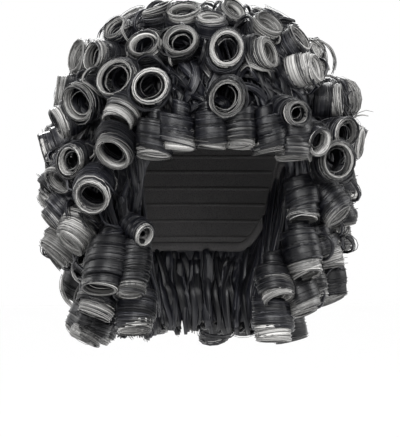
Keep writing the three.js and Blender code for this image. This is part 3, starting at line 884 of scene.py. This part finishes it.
# The ringlets on the crown.
# The same barrels, shorter and standing more upright, so their open ends face up.
CROWN_RINGLETS = (
    ("crown_ringlet_1", -26, 0.93, -15, 50, 0.9, 0.95, 1.3),
    ("crown_ringlet_2", -4, 0.89, -10, 65, 0.9, 0.92, 1.1),
    ("crown_ringlet_3", 19, 0.94, 25, 42, 0.9, 0.85, 1.3),
    ("crown_ringlet_4", -56, 0.94, -60, 60, 0.9, 0.95, 1.0),
    ("crown_ringlet_5", 32, 0.85, 45, 40, 0.9, 0.95, 1.7),
)
set_ringlets(CROWN_RINGLETS, 200)

# The ringlets over the ears.
# The upper side ringlets, left and right as seen from the front. They face outwards, the highest of them
# upwards and the others level or down.
UPPER_SIDE_RINGLETS = (
    ("left_ringlet_1", -70, 0.67, -66, 2, 0.9, 1.05, 1.2),
    ("left_ringlet_2", -72, 0.83, -60, 36, 0.9, 0.9, 1.3),
    ("left_ringlet_3", -98, 0.44, -88, 8, 0.9, 1.0, 1.6),
    ("left_ringlet_4", -66, 0.38, -48, -15, 0.9, 1.15, 1.3),
    ("left_ringlet_5", -79, 0.24, -80, -25, 0.9, 1.05, 1.6),
    ("left_ringlet_6", -46, 0.26, -42, -50, 0.95, 1.0, 2.6),
    ("right_ringlet_1", 45, 0.0, 10, 8, 0.95, 1.15, 1.8),
    ("right_ringlet_2", 52, 0.18, 34, 4, 0.95, 1.0, 1.4),
    ("right_ringlet_3", 36, 0.12, 32, -20, 0.9, 0.85, 1.3),
    ("right_ringlet_4", 20, 0.66, 42, 8, 1.0, 0.95, 2.4),
    ("right_ringlet_5", 50, 0.77, 60, 40, 0.9, 1.0, 1.4),
    ("right_ringlet_6", 42, 0.56, 62, 16, 1.0, 0.95, 2.8),
    ("right_ringlet_7", 61, 0.42, 76, 2, 0.8, 1.0, 1.7),
    ("right_ringlet_8", 69, 0.12, 64, -14, 0.95, 0.95, 2.0),
)
set_ringlets(UPPER_SIDE_RINGLETS, 300)

# The lower ringlets at the sides.
# The lower the curls, the more they hang, and the longest barrels of the wig are among the lowest.
LOWER_SIDE_RINGLETS = (
    ("left_ringlet_7", -44, 0.05, -20, -35, 0.95, 1.1, 1.7),
    ("left_ringlet_8", -64, 0.0, -38, -12, 0.95, 0.95, 1.3),
    ("left_ringlet_9", -75, -0.09, -72, -30, 0.9, 1.0, 1.3),
    ("left_ringlet_10", -52, -0.12, -24, -32, 1.0, 1.15, 1.5),
    ("left_ringlet_11", -96, -0.14, -98, -44, 0.9, 0.95, 0.4),
    ("left_ringlet_12", -84, -0.33, -88, -46, 0.95, 1.0, 1.4),
    ("left_ringlet_13", -68, -0.42, -66, -52, 1.0, 1.1, 3.0),
    ("left_ringlet_14", -90, -0.48, -90, -50, 1.0, 1.05, 3.0),
    ("left_ringlet_15", -33, -0.39, 25, -20, 0.9, 0.72, 1.3),
    ("left_ringlet_16", -51, -0.62, -36, -58, 1.5, 1.2, 1.5),
    ("left_ringlet_17", -40, -0.66, -22, -70, 1.4, 1.0, 1.5),
    ("left_ringlet_18", -61, -0.76, -56, -66, 1.1, 1.1, 1.9),
    ("left_ringlet_19", -44, -0.86, -32, -75, 1.04, 1.05, 1.6),
    ("left_ringlet_20", -84, -0.9, -70, -68, 1.0, 1.0, 1.1),
    ("right_ringlet_9", 53, -0.25, 50, -54, 1.0, 1.0, 1.5),
    ("right_ringlet_10", 72, -0.34, 76, -74, 1.0, 0.9, 1.7),
    ("right_ringlet_11", 37, -0.3, 28, -74, 1.0, 0.95, 1.5),
    ("right_ringlet_12", 40, -0.58, 30, -72, 1.2, 1.1, 2.1),
    ("right_ringlet_13", 62, -0.54, 62, -74, 1.0, 0.95, 2.4),
    ("right_ringlet_14", 27, -0.7, 8, -62, 1.0, 1.0, 1.8),
    ("right_ringlet_15", 57, -0.72, 66, -76, 0.9, 0.85, 2.6),
    ("right_ringlet_16", 43, -0.78, 40, -66, 1.0, 1.0, 2.2),
    ("right_ringlet_17", 30, -0.91, 20, -78, 1.1, 1.15, 1.7),
)
set_ringlets(LOWER_SIDE_RINGLETS, 400)

# The fringe.
# Short barrels that hang over the top of the face opening, black with silver on the last turn.
FRINGE_CURLS = (
    ("fringe_curl_1", -31, 0.05, -33, -84, 0.9, 1.1, 1.5),
    ("fringe_curl_2", -20, 0.1, -20, -84, 0.9, 1.1, 1.8),
    ("fringe_curl_3", -7, 0.11, -7, -84, 0.9, 1.1, 1.7),
    ("fringe_curl_4", 6, 0.12, 6, -84, 0.9, 1.1, 1.8),
    ("fringe_curl_5", 19, 0.08, 19, -84, 0.9, 1.1, 1.6),
    ("fringe_curl_6", 30, 0.02, 30, -82, 0.7, 1.1, 1.8),
)
set_ringlets(FRINGE_CURLS, 500)

# The ringlets round the back.
# Rows of the same barrels sewn one above the other from ear to ear, turned out at the top and down below.
BACK_COLUMNS = ("rise", "start", "end", "count", "lift", "reach", "girth")
BACK_ROWS = (
    (0.98, 180, 180, 1, 80, 0.9, 1.1),
    (0.9, 76, 256, 6, 56, 0.9, 1.15),
    (0.66, 82, 262, 8, 26, 0.9, 1.15),
    (0.38, 92, 252, 9, -2, 0.9, 1.15),
    (0.08, 84, 258, 9, -26, 0.95, 1.15),
    (-0.2, 88, 254, 9, -42, 1.0, 1.15),
    (-0.46, 84, 256, 9, -52, 1.0, 1.15),
    (-0.7, 78, 260, 8, -60, 1.0, 1.1),
    (-0.9, 108, 264, 7, -68, 1.0, 1.1),
)
CLOSE_BEARING = 85
CLOSE_SPREAD = 40
CLOSE_RISE = -0.1
CLOSE_DROP = 34
STEEPEST = -80
BACK_STRANDS = 8
BACK_TURN_STEPS = 11
BACK_POINTS = 10
for level, values in enumerate(BACK_ROWS):
    row = dict(zip(BACK_COLUMNS, values))
    stagger = 0 if level % 2 else 0.5
    row_bundles = []
    for order in range(row["count"]):
        bearing = row["start"] + (row["end"] - row["start"]) * (order + stagger) / (row["count"] - 0.5)
        away = (bearing - CLOSE_BEARING) / CLOSE_SPREAD
        drop = CLOSE_DROP * math.exp(-away ** 2) if row["rise"] < CLOSE_RISE else 0
        place = 10 * level + order + 1
        curl = {
            "bearing": bearing + 4 * math.sin(2.4 * place),
            "rise": min(row["rise"] + 0.03 * math.sin(3.7 * place), 0.98),
            "aim": bearing + 15 * math.sin(4.1 * place),
            "lift": max(row["lift"] - drop + 11 * math.sin(5.3 * place), STEEPEST),
            "reach": row["reach"],
            "girth": row["girth"] * (1 + 0.09 * math.sin(2.9 * place)),
            "silver": 1.5 + 0.8 * math.sin(6.1 * place),
        }
        bundles, roll = ringlet(curl, 900 + level * 20 + order, BACK_STRANDS, BACK_TURN_STEPS, BACK_POINTS)
        taken.append(roll)
        row_bundles.extend(bundles)
    piece = joined(f"back_row_{level + 1}_hair", row_bundles, silver_fibre)
    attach(piece, "root")
    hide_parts("hair_coat")

# The loose loops.
# Locks that leave the coat between the ringlets and bend over in an open loop, stray arcs that break the
# outline, and wide arcs that lie on the coat. Some of them turn silver.
LOOPS = 200
LOOP_STRANDS = 3
LOOP_STEPS = 16


def loops(bearings, rises, turns, radii, heights, silver, dice):
    """Bundles of strands, each lock of them bent round in an open loop that stands on the coat."""
    count = len(bearings)
    root = hair_point(bearings, rises)
    normal = hair_normal(bearings, rises)
    level = unit(np.cross(normal, np.array([0.0, 0.0, 1.0])) + 1e-6)
    slope = np.cross(level, normal)
    turn = dice.uniform(-0.9, 0.9, (count, 1)) + np.where(dice.random((count, 1)) < 0.5, 0, np.pi)
    axis = unit(level * np.cos(turn) + slope * np.sin(turn) + normal * dice.uniform(-0.4, 0.7, (count, 1)))
    up = unit(normal - axis * np.sum(normal * axis, axis=-1, keepdims=True))
    beside = np.cross(axis, up)
    share = np.linspace(0, 1, LOOP_STEPS)[None]
    first = dice.uniform(-2.4, -1.7, (count, 1))
    pitch = dice.uniform(-0.004, 0.007, (count, 1))
    bundles = []
    for order in range(LOOP_STRANDS + 1):
        is_band = order == 0
        place = np.zeros((count, 1))
        if not is_band:
            place = (order - dice.uniform(0, 1, (count, 1))) / LOOP_STRANDS - 0.5
        angle = first + turns[:, None] * 2 * np.pi * share * dice.uniform(0.93, 1.07, (count, 1))
        radius = radii[:, None] * (1 - 0.22 * share) + dice.normal(0, 0.0007, (count, 1))
        radius = radius + 0.0012 * np.sin(angle * dice.uniform(0.7, 1.4, (count, 1)) + place * 3)
        slide = pitch * angle + place * dice.uniform(0.004, 0.008, (count, 1)) * (1 - 0.5 * share)
        strand = (root + normal * heights[:, None])[:, None] + (
            up[:, None] * (radius * (np.cos(angle) + 0.45))[..., None]
            + beside[:, None] * (radius * np.sin(angle))[..., None] + axis[:, None] * slide[..., None])
        strand = give_way(strand, taken)
        taper = np.sin(np.pi * np.linspace(0.10, 0.97, LOOP_STEPS)) ** 0.4
        thick = STRAND * dice.uniform(0.5, 1.1, (count, 1)) * taper
        shade = np.clip(dice.normal(0.5, 0.4, (count, 1)), 0, 1.5)
        tip = silver[:, None] * np.clip(share * 2.4 - 0.6 + dice.normal(0, 0.25, (count, 1)), 0, 1)
        section = round_section(thick * 0.7, thick * 0.6, 3)
        if is_band:
            half_width = dice.uniform(0.0009, 0.0017, (count, 1)) * taper
            section = ridged_section(half_width, 0.0012 * taper + 0 * half_width, 8, dice)
        bundles.append(sweep(strand, axis[:, None], section, silver=tip, shade=shade))
    return bundles


loop_dice = np.random.default_rng(37)
loop_rises = np.sin(loop_dice.uniform(-0.55, 0.97, LOOPS) * np.pi / 2)
loop_bearings = loop_dice.uniform(-180, 180, LOOPS)
by_face = (np.abs(loop_bearings) < 48) & (loop_rises < 0.45)
loop_bearings = np.where(by_face, np.sign(loop_bearings) * (48 + np.abs(loop_bearings)), loop_bearings)
loop_bundles = loops(
    loop_bearings, loop_rises,
    loop_dice.uniform(0.55, 1.15, LOOPS), loop_dice.uniform(0.008, 0.0145, LOOPS),
    loop_dice.uniform(0.002, 0.020, LOOPS), np.clip(loop_dice.normal(0.25, 0.4, LOOPS), 0, 0.6), loop_dice)


def stray_arcs(table, dice):
    """Locks that stand clear of the outline as seen from the front, each charted."""
    rows = np.array(table, dtype=float)
    count = len(rows)
    across, up, size, start, turn, silver = (rows[:, i][:, None] for i in range(6))
    face_turn = math.radians(STRAY_AZIMUTH)
    right = np.array([math.cos(face_turn), math.sin(face_turn), 0.0])
    above = np.array([0.0, 0.0, 1.0])
    near = np.array([math.sin(face_turn), -math.cos(face_turn), 0.0])
    share = np.linspace(0, 1, STRAY_STEPS)[None]
    bowed = np.where(np.arange(count) % 2, 0.8, -0.8)[:, None]
    bundles = []
    for order in range(STRAY_STRANDS + 1):
        is_band = order == 0
        own = dice.uniform(-0.0014, 0.0014, (count, 1)) * (not is_band)
        angle = np.radians(start + turn * share + dice.uniform(-12, 12, (count, 1)) * (not is_band))
        radius = size / 1000 + own + 0.0006 * np.sin(3 * angle + dice.uniform(0, 6, (count, 1)))
        depth = dice.uniform(-0.003, 0.003, (count, 1)) + bowed * size / 1000 * np.sin(np.pi * share)
        strand = (right * (across / 1000 + radius * np.cos(angle))[..., None]
                  + above * (up / 1000 + radius * np.sin(angle))[..., None] + near * depth[..., None])
        taper = np.sin(np.pi * np.linspace(0.12, 0.94, STRAY_STEPS)) ** 0.5
        thick = STRAND * dice.uniform(0.35, 0.7, (count, 1)) * taper
        section = round_section(thick, thick, 3)
        if is_band:
            level_taper = taper + 0 * radius
            section = ridged_section(STRAY_HALF_BAND * level_taper, STRAY_HALF_WALL * level_taper, 8, dice)
        shade = np.clip(dice.normal(0.4, 0.3, (count, 1)), 0, 1.5)
        bundles.append(sweep(strand, near, section, silver=silver + 0 * share, shade=shade))
    return bundles


STRAY_AZIMUTH = -10
STRAY_STRANDS = 5
STRAY_STEPS = 22
STRAY_HALF_BAND = 0.0011
STRAY_HALF_WALL = 0.0008
# Each one's place across and up and its radius, in millimetres, its start and its turn in degrees, and
# its silver.
STRAYS = (
    (-38.7, 27.9, 16.2, 190, -140, 0.0),
    (-41.0, 25.0, 13.5, 175, -110, 0.0),
    (-74.7, 13.5, 18.9, 165, -115, 0.0),
    (14.4, 42.3, 4.5, -60, 330, 0.0),
    (92.7, -4.5, 19.0, 110, -140, 0.6),
    (96.0, -8.0, 22.0, 95, -120, 0.5),
    (81.9, 15.3, 8.0, 210, -240, 0.0),
    (112.5, -186.3, 9.5, 110, -210, 0.0),
    (110.0, -188.0, 7.0, 120, -220, 0.0),
    (99.9, -213.3, 9.0, 100, -230, 0.1),
    (-103.0, -207.0, 25.0, 150, 105, 0.6),
    (-98.0, -219.0, 17.0, 140, 190, 0.5),
    (-136.8, -174.6, 8.0, 60, 230, 0.0),
    (-137.7, -117.9, 7.0, 70, 210, 0.0),
    (130.5, -65.7, 7.5, 130, -210, 0.0),
    (121.5, -153.9, 9.0, 80, -180, 0.6),
)
loop_bundles += stray_arcs(STRAYS, loop_dice)


def swooshes(table, dice):
    """Locks that lie on the coat in wide arcs, round a ringlet's root or from one ringlet to the next."""
    rows = np.array(table, dtype=float)
    count = len(rows)
    bearing, rise, size, start, turn, silver = rows.T
    centre = hair_point(bearing, rise)
    normal = hair_normal(bearing, rise)
    level = unit(np.cross(np.array([0.0, 0.0, 1.0]), normal))
    slope = np.cross(normal, level)
    share = np.linspace(0, 1, SWOOSH_STEPS)[None]
    shade_of_all = dice.normal(0.85, 0.25, (count, 1))
    bundles = []
    for order in range(SWOOSH_STRANDS + 1):
        is_band = order == 0
        own = dice.uniform(-1, 1, (count, 1)) * SWOOSH_HALF_SPREAD * (not is_band)
        fan = dice.uniform(-8, 8, (count, 1)) * (not is_band)
        angle = np.radians(start[:, None] + turn[:, None] * share + fan)
        radius = size[:, None] / 1000 + own * (0.4 + 0.6 * np.sin(np.pi * share))
        radius = radius + 0.0008 * np.sin(3 * angle + dice.uniform(0, 6, (count, 1)))
        height = 0.001 + dice.uniform(0.004, 0.008, (count, 1)) * np.sin(np.pi * share)
        height = height + 0.0012 * (not is_band)
        strand = (centre[:, None] + level[:, None] * (radius * np.cos(angle))[..., None]
                  + slope[:, None] * (radius * np.sin(angle))[..., None]
                  + normal[:, None] * height[..., None])
        strand = give_way(strand, taken)
        taper = np.sin(np.pi * np.linspace(0.08, 0.94, SWOOSH_STEPS)) ** 0.5
        thick = STRAND * dice.uniform(0.35, 0.8, (count, 1)) * taper
        section = round_section(thick, thick * 0.8, 3)
        if is_band:
            level_taper = taper + 0 * radius
            section = ridged_section(SWOOSH_HALF_BAND * level_taper, SWOOSH_HALF_WALL * level_taper, 8, dice)
        across = unit(np.cross(unit(np.gradient(strand, axis=1)), normal[:, None]))
        shade = np.clip(shade_of_all + dice.normal(0, 0.35, (count, 1)), 0, 1.5)
        tip = silver[:, None] * np.clip(0.4 + share * 1.2 + dice.normal(0, 0.2, (count, 1)), 0, 1)
        bundles.append(sweep(strand, across, section, silver=tip, shade=shade))
    return bundles


SWOOSH_STRANDS = 5
SWOOSH_STEPS = 22
SWOOSH_HALF_SPREAD = 0.0036
SWOOSH_HALF_BAND = 0.0034
SWOOSH_HALF_WALL = 0.0011
# Each one's centre as a bearing and a rise, its radius in millimetres, its start and its turn in degrees,
# counted from the right upwards as seen from outside, and its silver.
SWOOSHES = (
    (9, 0.40, 21, 110, -140, 0.0),
    (10, 0.42, 28, 100, -120, 0.1),
    (16, 0.62, 22, 120, -125, 0.0),
    (24, 0.50, 18, 110, -150, 0.0),
    (31, 0.42, 20, 100, -120, 0.15),
    (34, 0.62, 18, 120, -140, 0.35),
    (-13, 0.50, 16, 60, 130, 0.0),
    (-9, 0.60, 18, 70, 110, 0.1),
    (3, 0.56, 24, 160, -110, 0.0),
    (-8, 0.82, 20, 150, -120, 0.0),
    (9, 0.84, 18, 150, -130, 0.1),
    (-33, 0.84, 16, 170, -130, 0.0),
    (-58, 0.14, 16, 120, -150, 0.2),
    (-57, 0.50, 15, 100, -140, 0.0),
    (-84, 0.34, 16, 60, 150, 0.1),
    (-60, -0.20, 16, 60, 140, 0.0),
    (58, -0.10, 16, 120, -150, 0.35),
    (62, 0.30, 15, 120, -150, 0.35),
    (47, -0.42, 17, 110, -140, 0.3),
    (50, -0.68, 15, 110, -150, 0.5),
)
loop_bundles += swooshes(SWOOSHES, np.random.default_rng(53))
loose_loops = joined("loose_loops", loop_bundles, silver_fibre)
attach(loose_loops, "root")
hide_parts("hair_coat")

# The studio.
# A pale floor well below the wig, soft light from the front, from above, from both sides and from behind,
# and the camera at the photograph's angle, nearly level and a little to one side.
PIXEL = 0.0009
VIEW_DISTANCE = 3.0
VIEW_AZIMUTH = -10
VIEW_ELEVATION = 1
VIEW_CENTRE = (-3 * PIXEL, -163.5 * PIXEL)
VIEW_HEIGHT = 437 * PIXEL
FLOOR_DROP = 0.75

mesh = bmesh.new()
bmesh.ops.create_grid(mesh, x_segments=1, y_segments=1, size=12)
bmesh.ops.translate(mesh, verts=mesh.verts, vec=(0, 0, -FLOOR_DROP))
floor_data = bpy.data.meshes.new("studio_floor")
mesh.to_mesh(floor_data)
mesh.free()
studio_floor = bpy.data.objects.new("studio_floor", floor_data)
bpy.context.collection.objects.link(studio_floor)
floor_paint, _, _, floor_shader = new_material("floor_paint")
floor_shader.inputs["Base Color"].default_value = (0.99, 0.99, 0.99, 1)
floor_shader.inputs["Roughness"].default_value = 0.8
floor_data.materials.append(floor_paint)

world = bpy.data.worlds.new("studio")
world.use_nodes = True
world.node_tree.nodes["Background"].inputs["Color"].default_value = (1, 1, 1, 1)
world.node_tree.nodes["Background"].inputs["Strength"].default_value = 1.0
bpy.context.scene.world = world
bpy.context.scene.view_settings.view_transform = "Standard"


def aim_at(obj, target):
    """Turns a lamp or the camera to face a point."""
    away = target - np.array(obj.location)
    level = math.hypot(away[0], away[1])
    obj.rotation_euler = (math.atan2(level, -away[2]), 0, math.atan2(-away[0], away[1]))


def soft_box(name, azimuth, elevation, distance, size, power):
    """A square soft box that faces the wig."""
    lamp = bpy.data.lights.new(name, "AREA")
    lamp.energy = power
    lamp.size = size
    box = bpy.data.objects.new(name, lamp)
    box.location = direction(azimuth, elevation) * distance + np.array([0, 0, -0.1])
    aim_at(box, np.array([0, 0, -0.1]))
    bpy.context.collection.objects.link(box)


soft_box("key_light", -25, 30, 1.8, 0.9, 48)
soft_box("fill_light", 12, 16, 2.0, 0.9, 24)
soft_box("top_light", 150, 65, 1.8, 0.6, 22)
soft_box("right_light", 88, 22, 1.9, 0.9, 22)
soft_box("left_light", -112, 22, 1.9, 0.9, 16)
soft_box("back_light", 176, 26, 1.9, 1.0, 34)

right = np.array([math.cos(math.radians(VIEW_AZIMUTH)), math.sin(math.radians(VIEW_AZIMUTH)), 0])
centre = right * VIEW_CENTRE[0] + np.array([0, 0, VIEW_CENTRE[1]])
lens = bpy.data.cameras.new("photo_camera")
lens.lens = lens.sensor_width * VIEW_DISTANCE / VIEW_HEIGHT
camera = bpy.data.objects.new("photo_camera", lens)
camera.location = centre + direction(VIEW_AZIMUTH, VIEW_ELEVATION) * VIEW_DISTANCE
aim_at(camera, centre)
bpy.context.collection.objects.link(camera)
bpy.context.scene.camera = camera
